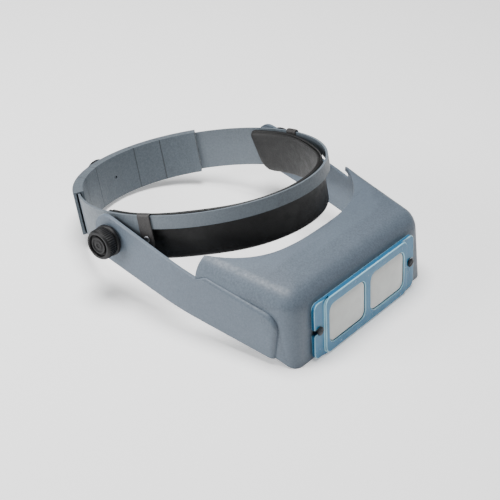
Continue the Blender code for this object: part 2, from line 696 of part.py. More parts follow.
def build_lens_plate():
    """A clear blue frame: thin ends with a slot for each screw, and a raised middle with two windows."""
    base = PLATE_THICKNESS + PLATE_RAISED_BY
    flat = slab(rounded_rectangle(PLATE_WIDTH, PLATE_HEIGHT, PLATE_CORNER), base, PLATE_RAISED_BY)
    plate = part("lens_plate", flat, "blue", None, PLATE_MATRIX)
    raised = slab(rounded_rectangle(PLATE_RAISED_WIDTH, PLATE_HEIGHT, PLATE_CORNER),
                  0, PLATE_RAISED_BY + 1 * MM)
    boolean(plate, cutter("plate_raised_middle", raised, None, PLATE_MATRIX), "UNION")
    for side in (-1, 1):
        hole = slab(rounded_rectangle(LENS_WIDTH, LENS_HEIGHT, LENS_CORNER), -5 * MM, 10 * MM)
        matrix = PLATE_MATRIX @ Matrix.Translation((side * LENS_CENTRE_X, 0, 0))
        boolean(plate, cutter(f"lens_hole_cutter_{SIDE_NAME[side]}", hole, None, matrix))
        slot = slab(rounded_rectangle(14 * MM, 2 * SCREW_RADIUS + 0.8 * MM, SCREW_RADIUS + 0.39 * MM),
                    -5 * MM, 10 * MM)
        matrix = PLATE_MATRIX @ Matrix.Translation((side * (SCREW_X + 4.6 * MM), 0, 0))
        boolean(plate, cutter(f"slot_cutter_{SIDE_NAME[side]}", slot, None, matrix))
    return plate


def build_lenses():
    """Two thick lenses, each bulging a little to the front."""
    for side in (-1, 1):
        matrix = PLATE_MATRIX @ Matrix.Translation((side * LENS_CENTRE_X, 0, 0))
        rings = []
        for scale, depth in ((1.0, 4.0), (1.0, 0.9), (0.90, 0.45), (0.60, 0.1)):
            outline = rounded_rectangle((LENS_WIDTH - 2 * GAP) * scale, (LENS_HEIGHT - 2 * GAP) * scale,
                                        LENS_CORNER * scale)
            rings.append([Vector((x, depth * MM, z)) for x, z in outline])
        part(f"lens_{SIDE_NAME[side]}", loft(rings), "glass", None, matrix)


def build_plate_screws():
    """A screw through each slot, into a threaded insert behind the front wall."""
    head_base = -PLATE_RAISED_BY + GAP
    wall_front = -(PLATE_THICKNESS + PLATE_RAISED_BY + GAP)
    wall_back = wall_front - HOOD_WALL - 0.6 * MM
    for side in (-1, 1):
        suffix = f"_{SIDE_NAME[side]}"
        matrix = screw_matrix(side)
        tip = wall_back - 3.2 * MM
        profile = ((0, head_base + 1.6 * MM), (SCREW_HEAD_RADIUS * 0.75, head_base + 1.5 * MM),
                   (SCREW_HEAD_RADIUS, head_base + 0.9 * MM), (SCREW_HEAD_RADIUS, head_base),
                   (SCREW_RADIUS, head_base), (SCREW_RADIUS, tip + 0.3 * MM), (SCREW_RADIUS - 0.3 * MM, tip), (0, tip))
        turned(f"plate_screw{suffix}", profile, "dark", None, matrix, 24)
        turned(f"screw_insert{suffix}", washer_profile(SCREW_RADIUS + 0.15 * MM, 3.4 * MM, tip + 0.2 * MM,
                                                       wall_back - GAP), "steel", None, matrix, 24)


# ---------------------------------------------------------------- build

clear_scene()
PARTS = collection(OBJECT_NAME)
CUTTERS = collection("cutters")
HEAD_MATRIX = Matrix.Translation(BAND_CENTRE) @ Matrix.Rotation(-BAND_TIP_BACK, 4, "X")
HEAD_FRAME = empty("headband_frame", HEAD_MATRIX)
PIVOT = HEAD_MATRIX @ Vector((0, PIVOT_Y, PIVOT_Z))
PLATE_MATRIX = Matrix.Translation(PLATE_CENTRE) @ Matrix.Rotation(-HOOD_TILT, 4, "X")

build_front_band()
build_tails()
build_sleeve()
build_comfort_band()
build_tabs()
build_pivots()
build_rear_clamp()
build_visor()
build_lens_plate()
build_lenses()
build_plate_screws()
bpy.context.view_layer.update()
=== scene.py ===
"""Looks for the head visor magnifier: grained grey plastic, knurled knobs, leather and a clear blue plate."""
import json
import math

import bmesh
import bpy
from mathutils import Euler, Matrix, Vector


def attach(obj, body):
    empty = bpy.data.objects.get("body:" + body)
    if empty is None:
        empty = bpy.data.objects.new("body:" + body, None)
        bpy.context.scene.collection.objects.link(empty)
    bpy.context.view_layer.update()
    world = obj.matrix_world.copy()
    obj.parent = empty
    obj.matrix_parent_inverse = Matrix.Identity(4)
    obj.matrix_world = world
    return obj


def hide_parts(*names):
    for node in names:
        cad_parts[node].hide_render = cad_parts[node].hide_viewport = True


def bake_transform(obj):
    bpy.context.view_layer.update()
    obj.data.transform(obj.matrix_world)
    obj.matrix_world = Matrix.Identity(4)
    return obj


MM = 0.001
SIDES = (("left", 1), ("right", -1))

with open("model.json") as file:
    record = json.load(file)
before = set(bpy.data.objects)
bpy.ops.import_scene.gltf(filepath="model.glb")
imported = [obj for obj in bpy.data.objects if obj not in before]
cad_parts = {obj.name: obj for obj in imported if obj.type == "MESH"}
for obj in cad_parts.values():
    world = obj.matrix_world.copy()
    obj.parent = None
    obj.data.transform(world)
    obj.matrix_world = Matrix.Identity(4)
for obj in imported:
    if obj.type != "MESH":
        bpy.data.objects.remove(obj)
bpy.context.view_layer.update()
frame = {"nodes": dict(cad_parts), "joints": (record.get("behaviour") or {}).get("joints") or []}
NODES = frame["nodes"]
JOINTS = {joint["name"]: joint for joint in frame["joints"]}
PIVOT = Vector(JOINTS["visor_tilt"]["pos_m"])
CLAMP_ORIGIN = Vector(JOINTS["size_knob_turn"]["pos_m"])
CLAMP_AXIS = Vector(JOINTS["size_slide"]["axis"])
PLATE_AXIS = Vector(JOINTS["lens_assembly_pull"]["axis"])

# The headband: the same oval as the CAD part, in a frame tipped back about X
BAND_CENTRE = Vector((0, 18.4, 44.9)) * MM
BAND_TIP_BACK = math.atan2(-CLAMP_AXIS.z, CLAMP_AXIS.y)
OVAL_HALF_WIDTH = 83.1 * MM
OVAL_HALF_LENGTH = 93.7 * MM
BAND_HEIGHT = 29.4 * MM
BAND_THICKNESS = 1.6 * MM
BAND_FRAME = Matrix.Translation(BAND_CENTRE) @ Matrix.Rotation(-BAND_TIP_BACK, 4, "X")


# ---------------------------------------------------------------- materials

class Shader:
    """A Principled material with short helpers for its nodes."""

    def __init__(self, name, roughness=0.5, metallic=0.0, **sockets):
        self.material = bpy.data.materials.new(name)
        self.material.use_nodes = True
        self.tree = self.material.node_tree
        self.surface = self.tree.nodes["Principled BSDF"]
        self.set("Roughness", roughness)
        self.set("Metallic", metallic)
        for socket, value in sockets.items():
            self.set(socket.replace("_", " "), value)
        self.place = self.tree.nodes.new("ShaderNodeTexCoord").outputs["Object"]
        self.bump_input = None

    def set(self, socket, value):
        self.surface.inputs[socket].default_value = value

    def feed(self, value, socket):
        """Link a node's output to a socket, or set the socket's own value."""
        if isinstance(value, bpy.types.NodeSocket):
            self.tree.links.new(value, socket)
        else:
            socket.default_value = value

    def node(self, kind, **inputs):
        made = self.tree.nodes.new(kind)
        for name, value in inputs.items():
            self.feed(value, made.inputs[name.replace("_", " ")])
        return made

    def link(self, output, socket):
        self.tree.links.new(output, self.surface.inputs[socket])

    def noise(self, scale, detail=3.0, roughness=0.5, distortion=0.0):
        return self.node("ShaderNodeTexNoise", Vector=self.place, Scale=scale, Detail=detail,
                         Roughness=roughness, Distortion=distortion).outputs["Fac"]

    def cells(self, scale):
        return self.node("ShaderNodeTexVoronoi", Vector=self.place, Scale=scale).outputs["Distance"]

    def math(self, operation, first, second=0.0):
        made = self.tree.nodes.new("ShaderNodeMath")
        made.operation = operation
        for socket, value in zip(made.inputs, (first, second)):
            self.feed(value, socket)
        return made.outputs[0]

    def vector_math(self, operation, *values):
        made = self.tree.nodes.new("ShaderNodeVectorMath")
        made.operation = operation
        for socket, value in zip(made.inputs, values):
            self.feed(value, socket)
        return made

    def spread(self, value, low, high, start=0.3, end=0.7):
        made = self.node("ShaderNodeMapRange", Value=value)
        for name, number in (("From Min", start), ("From Max", end), ("To Min", low), ("To Max", high)):
            made.inputs[name].default_value = number
        return made.outputs["Result"]

    def colours(self, value, stops):
        made = self.node("ShaderNodeValToRGB", Fac=value)
        ramp = made.color_ramp
        while len(ramp.elements) < len(stops):
            ramp.elements.new(0.5)
        for element, (position, colour) in zip(ramp.elements, stops):
            element.position = position
            element.color = (*colour, 1)
        return made.outputs["Color"]

    def mix(self, value, first, second, blend="MIX"):
        """Two colours mixed. The node's colour sockets are inputs 6 and 7 and output 2."""
        made = self.tree.nodes.new("ShaderNodeMix")
        made.data_type = "RGBA"
        made.blend_type = blend
        for index, item in ((0, value), (6, first), (7, second)):
            self.feed((*item, 1) if isinstance(item, tuple) else item, made.inputs[index])
        return made.outputs[2]

    def bump(self, height, strength, distance):
        made = self.node("ShaderNodeBump", Height=height, Strength=strength, Distance=distance)
        if self.bump_input is not None:
            self.tree.links.new(self.bump_input, made.inputs["Normal"])
        self.bump_input = made.outputs["Normal"]
        self.link(self.bump_input, "Normal")

    def facing(self, axis, low, high):
        """0 on surfaces square to the axis and 1 on those that turn away from it.

        The axis is fixed in the scene, so the colours are right at rest and go pale as the visor tilts. It
        places the painted shade, glints and highlights on the plate and lenses."""
        normal = self.node("ShaderNodeNewGeometry").outputs["Normal"]
        along = self.vector_math("DOT_PRODUCT", normal, axis).outputs["Value"]
        return self.spread(self.math("ABSOLUTE", along), 1.0, 0.0, low, high)

    def edges(self, low=0.49, high=0.56):
        """1 on outward edges and 0 on flat and inward ones."""
        pointed = self.node("ShaderNodeNewGeometry").outputs["Pointiness"]
        return self.spread(pointed, 0.0, 1.0, low, high)


def shade(colour, factor):
    return tuple(min(channel * factor, 1.0) for channel in colour)


def score_lines(shader, places, half_width):
    """1 inside thin upright lines that lie at these distances either side of the middle, and 0 elsewhere."""
    from_middle = shader.node("ShaderNodeSeparateXYZ", Vector=shader.place).outputs["X"]
    sideways = shader.math("ABSOLUTE", from_middle)
    lines = 0.0
    for place in places:
        away = shader.math("ABSOLUTE", shader.math("SUBTRACT", sideways, place))
        line = shader.spread(away, 1.0, 0.0, half_width * 0.4, half_width)
        lines = shader.math("MAXIMUM", lines, line)
    return lines


def grained_plastic(name, colour, roughness=0.5, scored=()):
    """Moulded plastic with a fine spark-eroded grain, faint flow marks and paler outward edges."""
    shader = Shader(name, roughness, Specular_IOR_Level=0.45)
    flow = shader.noise(28, 4, 0.6, 0.6)
    speck = shader.noise(820, 2, 0.7)
    base = shader.colours(flow, [(0.32, shade(colour, 0.94)), (0.68, shade(colour, 1.06))])
    fine = shader.colours(speck, [(0.36, (0.56, 0.56, 0.56)), (0.64, (1.2, 1.2, 1.2))])
    grained = shader.mix(0.55, base, fine, "MULTIPLY")
    edges = shader.edges()
    # Outward edges, found by pointiness, are made paler.
    paler_edges = shader.mix(shader.spread(edges, 0.0, 0.35, 0.0, 1.0), colour, shade(colour, 1.7))
    finish = shader.mix(shader.spread(edges, 0.0, 0.5, 0.0, 1.0), grained, paler_edges)
    if scored:
        lines = score_lines(shader, scored, 0.45 * MM)
        # The score lines are painted darker: painted shade in their grooves.
        finish = shader.mix(lines, finish, shade(colour, 0.4))
        shader.bump(shader.math("SUBTRACT", 1.0, lines), 0.6, 0.0004)
    shader.link(finish, "Base Color")
    shader.link(shader.spread(shader.noise(420, 2), roughness - 0.07, roughness + 0.09), "Roughness")
    shader.bump(shader.noise(900, 3, 0.6), 0.45, 0.00025)
    shader.bump(flow, 0.12, 0.0015)
    return shader.material


def black_plastic(name, colour, roughness=0.45):
    shader = Shader(name, roughness, Specular_IOR_Level=0.3)
    scuffs = shader.noise(260, 4, 0.65, 1.2)
    base = shader.colours(scuffs, [(0.4, colour), (0.7, shade(colour, 1.9))])
    # Outward edges, found by pointiness, are made paler.
    paler_edges = shader.spread(shader.edges(0.5, 0.6), 0, 0.6, 0, 1)
    shader.link(shader.mix(paler_edges, base, shade(colour, 5.0)), "Base Color")
    shader.link(shader.spread(scuffs, roughness - 0.08, roughness + 0.14), "Roughness")
    shader.bump(shader.noise(1400, 2), 0.2, 0.0001)
    return shader.material


def turned_plastic(name, colour, centre, axis, pitch):
    """Grey plastic with fine rings about an axis through centre."""
    shader = Shader(name, 0.55, Specular_IOR_Level=0.25)
    offset = shader.vector_math("SUBTRACT", shader.place, centre).outputs["Vector"]
    across = shader.vector_math("CROSS_PRODUCT", offset, axis).outputs["Vector"]
    from_axis = shader.vector_math("LENGTH", across).outputs["Value"]
    turns = shader.math("MULTIPLY", from_axis, 2 * math.pi / pitch)
    rings = shader.spread(shader.math("SINE", turns), 0, 1, -1, 1)
    shader.link(shader.colours(rings, [(0.1, shade(colour, 0.6)), (0.7, colour)]), "Base Color")
    shader.bump(rings, 0.5, 0.0002)
    return shader.material


def leather(name, colour, roughness=0.55, grain_scale=900, depth=0.5):
    """Leather: pebbled grain between creases, a faint sheen and a patchy finish."""
    shader = Shader(name, roughness, Specular_IOR_Level=0.4, Sheen_Weight=0.03, Sheen_Roughness=0.5)
    pebbles = shader.cells(grain_scale)
    creases = shader.noise(120, 5, 0.65, 0.8)
    patches = shader.noise(22, 3)
    base = shader.colours(patches, [(0.3, shade(colour, 0.85)), (0.7, shade(colour, 1.18))])
    between = shader.spread(pebbles, 0.0, 0.45, 0.2, 0.75)
    shader.link(shader.mix(between, base, shade(colour, 0.45)), "Base Color")
    shader.link(shader.spread(creases, roughness - 0.08, roughness + 0.12), "Roughness")
    shader.bump(pebbles, depth, 0.00022)
    shader.bump(creases, 0.25, 0.0008)
    return shader.material


def satin_steel(name, colour=(0.56, 0.57, 0.59), roughness=0.3):
    shader = Shader(name, roughness, 1.0)
    lines = shader.noise(900, 6, 0.7, 2.0)
    shader.link(shader.colours(lines, [(0.3, shade(colour, 0.75)), (0.7, colour)]), "Base Color")
    shader.link(shader.spread(lines, roughness - 0.1, roughness + 0.15), "Roughness")
    shader.bump(lines, 0.15, 0.0001)
    return shader.material


def smooth_rubber(name):
    shader = Shader(name, 0.7)
    stops = [(0.3, (0.012, 0.012, 0.012)), (0.7, (0.03, 0.03, 0.03))]
    shader.link(shader.colours(shader.noise(500, 3), stops), "Base Color")
    shader.bump(shader.noise(1500, 2), 0.2, 0.0001)
    return shader.material


def blue_acrylic(name):
    """Clear blue acrylic with flow lines, painted shade on its sides and a painted glint on its bevelled
    edges.
    """
    shader = Shader(name, 0.25, IOR=1.49, Specular_IOR_Level=0.3, Transmission_Weight=0.15,
                    Coat_Weight=0.05, Coat_Roughness=0.1)
    flow = shader.noise(60, 4, 0.6, 1.5)
    clear = shader.colours(flow, [(0.3, (0.020, 0.175, 0.335)), (0.7, (0.032, 0.210, 0.38))])
    # Pale blue on the bevelled edges: a painted glint.
    painted_glint_bevels = shader.mix(shader.facing(PLATE_AXIS, 0.93, 0.995), clear, (0.38, 0.70, 0.84))
    # Deep blue on the side walls: painted shade.
    shader.link(shader.mix(shader.facing(PLATE_AXIS, 0.1, 0.35), painted_glint_bevels, (0.02, 0.12, 0.24)), "Base Color")
    shader.link(shader.spread(shader.noise(120, 4, 0.6, 2.0), 0.22, 0.28), "Roughness")
    shader.bump(flow, 0.03, 0.0006)
    return shader.material


def lens_glass(name):
    """A thick polished lens that reads pale grey, with a faint haze of dust and a painted pale blue highlight
    round its rim.
    """
    shader = Shader(name, 0.12, IOR=1.52, Transmission_Weight=0.35, Coat_Weight=0.6, Coat_Roughness=0.03)
    haze = shader.noise(90, 5, 0.6, 0.4)
    clear = shader.colours(haze, [(0.3, (0.56, 0.575, 0.545)), (0.7, (0.66, 0.67, 0.64))])
    # The rim, turned from the plate's axis, is pale blue: a painted highlight.
    shader.link(shader.mix(shader.facing(PLATE_AXIS, 0.9, 0.985), clear, (0.80, 0.95, 1.0)), "Base Color")
    shader.link(shader.spread(haze, 0.08, 0.2), "Roughness")
    shader.bump(shader.noise(500, 3), 0.03, 0.0001)
    return shader.material


CAP_GREY = (0.012, 0.012, 0.013)
SIDE_CAP_RING_PITCH = 1.7 * MM
REAR_CAP_RING_PITCH = 1.9 * MM
SLEEVE_SCORE_LINES = (20.5 * MM, 40 * MM)
MATERIALS = {
    "band": grained_plastic("band_plastic", (0.100, 0.121, 0.142)),
    # The sleeve's grey is darker than the band's: painted shade for the sleeve's shaded inside.
    "sleeve": grained_plastic("sleeve_plastic", (0.080, 0.099, 0.118), scored=SLEEVE_SCORE_LINES),
    "visor": grained_plastic("visor_plastic", (0.092, 0.118, 0.150)),
    "knob": black_plastic("knob_plastic", (0.0025, 0.0025, 0.003)),
    "rubber": smooth_rubber("washer_rubber"),
    "pad": leather("pad_leather", (0.009, 0.0088, 0.009)),
    "backing": leather("backing_leather", (0.0045, 0.0045, 0.005), 0.5, 1300, 0.25),
    "tab": leather("tab_leather", (0.036, 0.034, 0.034), 0.5, 1000, 0.35),
    "rivet": satin_steel("rivet_metal", (0.24, 0.25, 0.27), 0.42),
    "steel": satin_steel("fastener_steel"),
    "screw": black_plastic("screw_black", (0.007, 0.008, 0.010), 0.42),
    "blue": blue_acrylic("frame_blue"),
    "lens": lens_glass("lens_glass"),
}
for side, _ in SIDES:
    MATERIALS["cap_" + side] = turned_plastic("cap_plastic_" + side, CAP_GREY, PIVOT, (1, 0, 0),
                                              SIDE_CAP_RING_PITCH)
MATERIALS["cap_rear"] = turned_plastic("cap_plastic_rear", CAP_GREY, CLAMP_ORIGIN, CLAMP_AXIS,
                                       REAR_CAP_RING_PITCH)

NODE_MATERIALS = {
    "front_band": "band", "rear_sleeve": "sleeve", "comfort_backing": "backing", "comfort_pad": "pad",
    "clamp_bolt": "steel", "clamp_washer": "steel", "clamp_knob": "knob", "clamp_knob_cap": "cap_rear",
    "visor_shell": "visor", "lens_plate": "blue",
}
PAIRED_MATERIALS = {
    "band_tail": "band", "comfort_tab": "tab", "tab_rivet": "rivet", "pivot_bolt": "steel",
    "pivot_spacer": "band", "friction_washer": "rubber", "pivot_washer": "steel", "pivot_knob": "knob",
    "screw_insert": "steel", "lens": "lens", "plate_screw": "screw",
}
for side, _ in SIDES:
    NODE_MATERIALS.update({f"{node}_{side}": key for node, key in PAIRED_MATERIALS.items()})
    NODE_MATERIALS["pivot_knob_cap_" + side] = "cap_" + side

# Bevel widths in mm
EDGE_WIDTHS = {"front_band": 0.35, "band_tail_left": 0.3, "band_tail_right": 0.3, "rear_sleeve": 0.5,
               "visor_shell": 0.6, "lens_plate": 0.8, "lens_left": 0.9, "lens_right": 0.9}


def soften(node):
    """Weld a CAD node's facets, round its sharp edges and shade it smooth."""
    obj = NODES[node]
    for layer in ("custom_normal", "sharp_face", "sharp_edge"):
        if layer in obj.data.attributes:
            obj.data.attributes.remove(obj.data.attributes[layer])
    for polygon in obj.data.polygons:
        polygon.use_smooth = True
    weld = obj.modifiers.new("weld", "WELD")
    weld.merge_threshold = 0.000005
    if node in EDGE_WIDTHS:
        bevel = obj.modifiers.new("edges", "BEVEL")
        bevel.width = EDGE_WIDTHS[node] * MM
        bevel.segments = 3
        bevel.limit_method = "ANGLE"
        bevel.angle_limit = math.radians(32)
        bevel.harden_normals = True
        bevel.use_clamp_overlap = node != "lens_plate"
    sharp_edges(obj, 34)


def dress_nodes():
    for node, key in NODE_MATERIALS.items():
        obj = NODES[node]
        obj.data.materials.clear()
        obj.data.materials.append(MATERIALS[key])
        soften(node)


# ---------------------------------------------------------------- meshes

def link(obj):
    bpy.context.scene.collection.objects.link(obj)
    return obj


def piece(name, bm, key, body, slot, *nodes):
    """A new smooth mesh that rides on a body and stands for the CAD nodes named."""
    bmesh.ops.remove_doubles(bm, verts=bm.verts, dist=0.000001)
    bmesh.ops.recalc_face_normals(bm, faces=bm.faces)
    mesh = bpy.data.meshes.new(name)
    bm.to_mesh(mesh)
    bm.free()
    for polygon in mesh.polygons:
        polygon.use_smooth = True
    mesh.materials.append(MATERIALS[key])
    obj = link(bpy.data.objects.new(name, mesh))
    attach(obj, body)
    if nodes:
        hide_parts(*nodes)
    return obj


def sharp_edges(obj, angle):
    """Keep the edges sharper than this angle in degrees from being shaded smooth."""
    split = obj.modifiers.new("creases", "EDGE_SPLIT")
    split.split_angle = math.radians(angle)


def rings_to_mesh(rings):
    """Join rings of equal length, and close both ends with a fan round their middle."""
    bm = bmesh.new()
    made = [[bm.verts.new(point) for point in ring] for ring in rings]
    count = len(made[0])
    for ring, following in zip(made, made[1:]):
        for index in range(count):
            other = (index + 1) % count
            bm.faces.new((ring[index], ring[other], following[other], following[index]))
    for ring in (made[0], made[-1]):
        middle = bm.verts.new(sum((vert.co for vert in ring), Vector()) / count)
        for index in range(count):
            bm.faces.new((ring[index], ring[(index + 1) % count], middle))
    return bm


def oval_point(angle, offset=0.0):
    """A point on the headband's oval, moved outwards by offset, in the band's own frame."""
    across, along = math.cos(angle), math.sin(angle)
    normal = Vector((OVAL_HALF_LENGTH * across, OVAL_HALF_WIDTH * along, 0)).normalized()
    return Vector((OVAL_HALF_WIDTH * across, OVAL_HALF_LENGTH * along, 0)) + normal * offset


def on_band(angle, offset, height):
    return BAND_FRAME @ (oval_point(angle, offset) + Vector((0, 0, height)))


def side_angle(y, sign):
    """The oval's angle on one side at which it has this y."""
    angle = math.asin(y / OVAL_HALF_LENGTH)
    return angle if sign > 0 else math.pi - angle


def span(node, origin, axis):
    """Where a CAD node starts and ends along an axis, and its largest radius about it."""
    along = [(vert.co - origin).dot(axis) for vert in NODES[node].data.vertices]
    radii = [((vert.co - origin) - axis * (vert.co - origin).dot(axis)).length
             for vert in NODES[node].data.vertices]
    return min(along), max(along), max(radii)


def axis_frame(origin, axis):
    """A frame at origin whose local Z is the axis."""
    return Matrix.Translation(origin) @ axis.to_track_quat("Z", "Y").to_matrix().to_4x4()


def turned(profile, frame_matrix, segments, teeth=0):
    """A solid of revolution. Each profile point is radius, height and how deep the teeth cut there."""
    rings = []
    for radius, height, cut in profile:
        ring = []
        for step in range(segments):
            turn = 2 * math.pi * step / segments
            depth = cut * (0.5 - 0.5 * math.cos(teeth * turn)) ** 0.6 if cut else 0.0
            reach = radius - depth
            ring.append(frame_matrix @ Vector((reach * math.cos(turn), reach * math.sin(turn), height)))
        rings.append(ring)
    return rings_to_mesh(rings)


# ---------------------------------------------------------------- strip

# The strip's pieces, each copied from the CAD node named
STRIP_PIECES = {"headband_strip": "front_band", "strip_end_left": "band_tail_left",
                "strip_end_right": "band_tail_right"}


def build_strip():
    """The strip and its two ends behind the pivots, copied from the CAD nodes with their modifiers applied.
    """
    evaluated = bpy.context.evaluated_depsgraph_get()
    for name, node in STRIP_PIECES.items():
        source = NODES[node]
        mesh = bpy.data.meshes.new_from_object(source.evaluated_get(evaluated))
        mesh.transform(source.matrix_world)
        obj = link(bpy.data.objects.new(name, mesh))
        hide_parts(node)
        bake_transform(obj)


# ---------------------------------------------------------------- comfort band

PAD_TOP = 14.4 * MM
PAD_HEIGHT = 32.4 * MM
PAD_END_TOP = 19 * MM
PAD_END_BOTTOM = 10.5 * MM
PAD_CORNER_SLACK = 2.6 * MM


def pad_slack(angle):
    """How far the pad leaves the strip at its two front corners."""
    from_corner = (abs(math.degrees(angle) + 90) - 55) / 18
    return PAD_CORNER_SLACK * math.exp(-from_corner ** 2)


def corner_inset(height, low, high, radius_low, radius_high):
    """How much shorter a row is because the end corners are rounded."""
    for distance, radius in ((height - low, radius_low), (high - height, radius_high)):
        if distance < radius:
            return radius - math.sqrt(max(radius ** 2 - (radius - distance) ** 2, 0.0))
    return 0.0


def pad_mesh(outer_offset, thickness, crown, rim, margin, columns=150, rows=16):
    """A long pad along the inside of the band, thin and rounded at its rim and crowned in between."""
    low, high = PAD_TOP - PAD_HEIGHT + margin, PAD_TOP - margin
    width = high - low

    def place(column, row, inner):
        across = -math.cos(math.pi * row / rows) * 0.25 + (row / rows - 0.5) * 0.5
        height = (low + high) / 2 + across * width
        share = (height - low) / width
        end_y = PAD_END_BOTTOM + (PAD_END_TOP - PAD_END_BOTTOM) * share - margin
        end_y -= corner_inset(height, low, high, 9 * MM, 4.5 * MM)
        reach = math.pi / 2 + math.asin(end_y / OVAL_HALF_LENGTH)
        along = 2 * column / columns - 1
        along = math.copysign(1 - (1 - abs(along)) ** 1.25, along) if abs(along) > 0.9 else along
        angle = -math.pi / 2 + along * reach
        from_end = (1 - abs(along)) * reach * OVAL_HALF_WIDTH
        edge = min(height - low, high - height, from_end)
        fullness = min(edge / rim, 1.0)
        swell = math.sqrt(max(1 - (1 - fullness) ** 2, 0.0))
        if inner:
            depth = thickness * (0.5 + 0.5 * swell) + crown * swell * (1 - (2 * across) ** 2)
        else:
            depth = thickness * 0.5 * (1 - swell)
        return on_band(angle, -(outer_offset + pad_slack(angle) + depth), height)

    bm = bmesh.new()
    sheets = []
    for inner in (False, True):
        sheets.append([[bm.verts.new(place(column, row, inner)) for row in range(rows + 1)]
                       for column in range(columns + 1)])
    for grid in sheets:
        for column in range(columns):
            for row in range(rows):
                bm.faces.new((grid[column][row], grid[column + 1][row],
                              grid[column + 1][row + 1], grid[column][row + 1]))
    return bm


def build_comfort_band():
    """The leather pad against the brow and the black backing behind it."""
    pad = piece("brow_pad", pad_mesh(4.5 * MM, 2.9 * MM, 0.5 * MM, 4.5 * MM, 0.7 * MM), "pad", "headband",
                "pad_leather", "comfort_pad")
    piece("brow_pad_backing", pad_mesh(3.0 * MM, 1.2 * MM, 0.25 * MM, 1.6 * MM, 0.0), "backing", "headband",
          "backing_leather", "comfort_backing")


TAB_CENTRE_Y = -20.5 * MM
TAB_WIDTH = 9.8 * MM
TAB_THICKNESS = 1.1 * MM
TAB_BOTTOM = -7.5 * MM
TAB_INSIDE_BOTTOM = 7.7 * MM


def build_tab(side, sign):
    """A leather strap folded over the strip, with rounded ends and edges."""
    angle = side_angle(TAB_CENTRE_Y, sign)
    half_gap = BAND_THICKNESS / 2 + 0.3 * MM + TAB_THICKNESS / 2
    fold_height = BAND_HEIGHT / 2 - 0.35 * MM
    path = [(-half_gap, TAB_INSIDE_BOTTOM + (fold_height - TAB_INSIDE_BOTTOM) * step / 10)
            for step in range(10)]
    folds = [math.pi * step / 12 for step in range(13)]
    path += [(-half_gap * math.cos(fold), fold_height + half_gap * math.sin(fold)) for fold in folds]
    path += [(half_gap, fold_height + (TAB_BOTTOM - fold_height) * step / 26) for step in range(1, 27)]
    tangent = (oval_point(angle + 0.01) - oval_point(angle - 0.01)).normalized()
    outward = (oval_point(angle, 1.0) - oval_point(angle)).normalized()
    up = Vector((0, 0, 1))
    rings = []
    for index, (offset, height) in enumerate(path):
        before, after = path[max(index - 1, 0)], path[min(index + 1, len(path) - 1)]
        run = (outward * (after[0] - before[0]) + up * (after[1] - before[1])).normalized()
        across = run.cross(tangent)
        from_end = min(index * 0.7 * MM, (len(path) - 1 - index) * 0.85 * MM)
        rounding = min(from_end / (3.5 * MM), 1.0)
        half_width = TAB_WIDTH / 2 * (0.55 + 0.45 * math.sqrt(1 - (1 - rounding) ** 2))
        half_thick = TAB_THICKNESS / 2 * (0.5 + 0.5 * min(from_end / (1 * MM), 1.0))
        centre = oval_point(angle) + outward * offset + up * height
        ring = []
        for step in range(20):
            turn = 2 * math.pi * step / 20
            wide = math.copysign(abs(math.cos(turn)) ** 0.35, math.cos(turn))
            thick = math.copysign(abs(math.sin(turn)) ** 0.6, math.sin(turn))
            ring.append(BAND_FRAME @ (centre + tangent * wide * half_width + across * thick * half_thick))
        rings.append(ring)
    piece("strap_tab_" + side, rings_to_mesh(rings), "tab", "headband", "tab_leather", "comfort_tab_" + side)


def build_rivet(side, sign):
    """A tubular rivet head: a rolled rim round a shallow dimple."""
    angle = side_angle(TAB_CENTRE_Y, sign)
    outward = (BAND_FRAME.to_3x3() @ (oval_point(angle, 1.0) - oval_point(angle))).normalized()
    origin = on_band(angle, 0.0, -1.0 * MM)
    low, high, radius = span("tab_rivet_" + side, origin, outward)
    profile = [(0.9 * MM, low, 0), (0.9 * MM, high - 0.95 * MM, 0), (radius - 0.1 * MM, high - 0.9 * MM, 0),
               (radius, high - 0.6 * MM, 0), (radius * 0.93, high - 0.25 * MM, 0), (radius * 0.78, high, 0),
               (radius * 0.55, high - 0.05 * MM, 0), (radius * 0.42, high - 0.3 * MM, 0),
               (radius * 0.2, high - 0.45 * MM, 0)]
    piece("rivet_head_" + side, turned(profile, axis_frame(origin, outward), 32), "rivet", "headband",
          "rivet_metal", "tab_rivet_" + side)


# ---------------------------------------------------------------- knobs and screws

def build_knob(name, node, body, origin, axis, teeth):
    """A knob with a plain flange, a grip of fine upright ribs, a rounded rim and a groove round its cap."""
    low, high, flange = span(node, origin, axis)
    grip = flange - 0.5 * MM
    depth = high - low
    rib = 0.32 * MM
    bore = 2.8 * MM
    flange_profile = [
        (bore, low + 0.6 * depth, 0), (bore, low, 0), (flange - 0.6 * MM, low, 0),
        (flange - 0.15 * MM, low + 0.15 * MM, 0), (flange, low + 0.5 * MM, 0),
        (flange, low + 2.2 * MM, 0), (flange - 0.15 * MM, low + 2.5 * MM, 0)]
    grip_profile = [
        (grip - 0.5 * MM, low + 2.75 * MM, 0), (grip - 0.5 * MM, low + 3.0 * MM, 0),
        (grip - 0.1 * MM, low + 3.2 * MM, rib), (grip, low + 3.5 * MM, rib),
        (grip, high - 1.7 * MM, rib), (grip - 0.15 * MM, high - 1.3 * MM, rib)]
    face_profile = [
        (grip - 0.55 * MM, high - 1.05 * MM, 0), (grip - 0.75 * MM, high - 0.45 * MM, 0),
        (grip - 1.1 * MM, high - 0.1 * MM, 0), (grip - 1.5 * MM, high, 0), (grip * 0.78, high, 0),
        (grip * 0.76, high - 0.1 * MM, 0), (grip * 0.745, high - 0.35 * MM, 0),
        (grip * 0.72, high - 2.0 * MM, 0), (grip * 0.70, high - 2.2 * MM, 0),
        (0.4 * MM, high - 2.2 * MM, 0)]
    solid = turned(flange_profile + grip_profile + face_profile, axis_frame(origin, axis), teeth * 6, teeth)
    knob = piece(name, solid, "knob", body, "knob_plastic", node)
    sharp_edges(knob, 50)


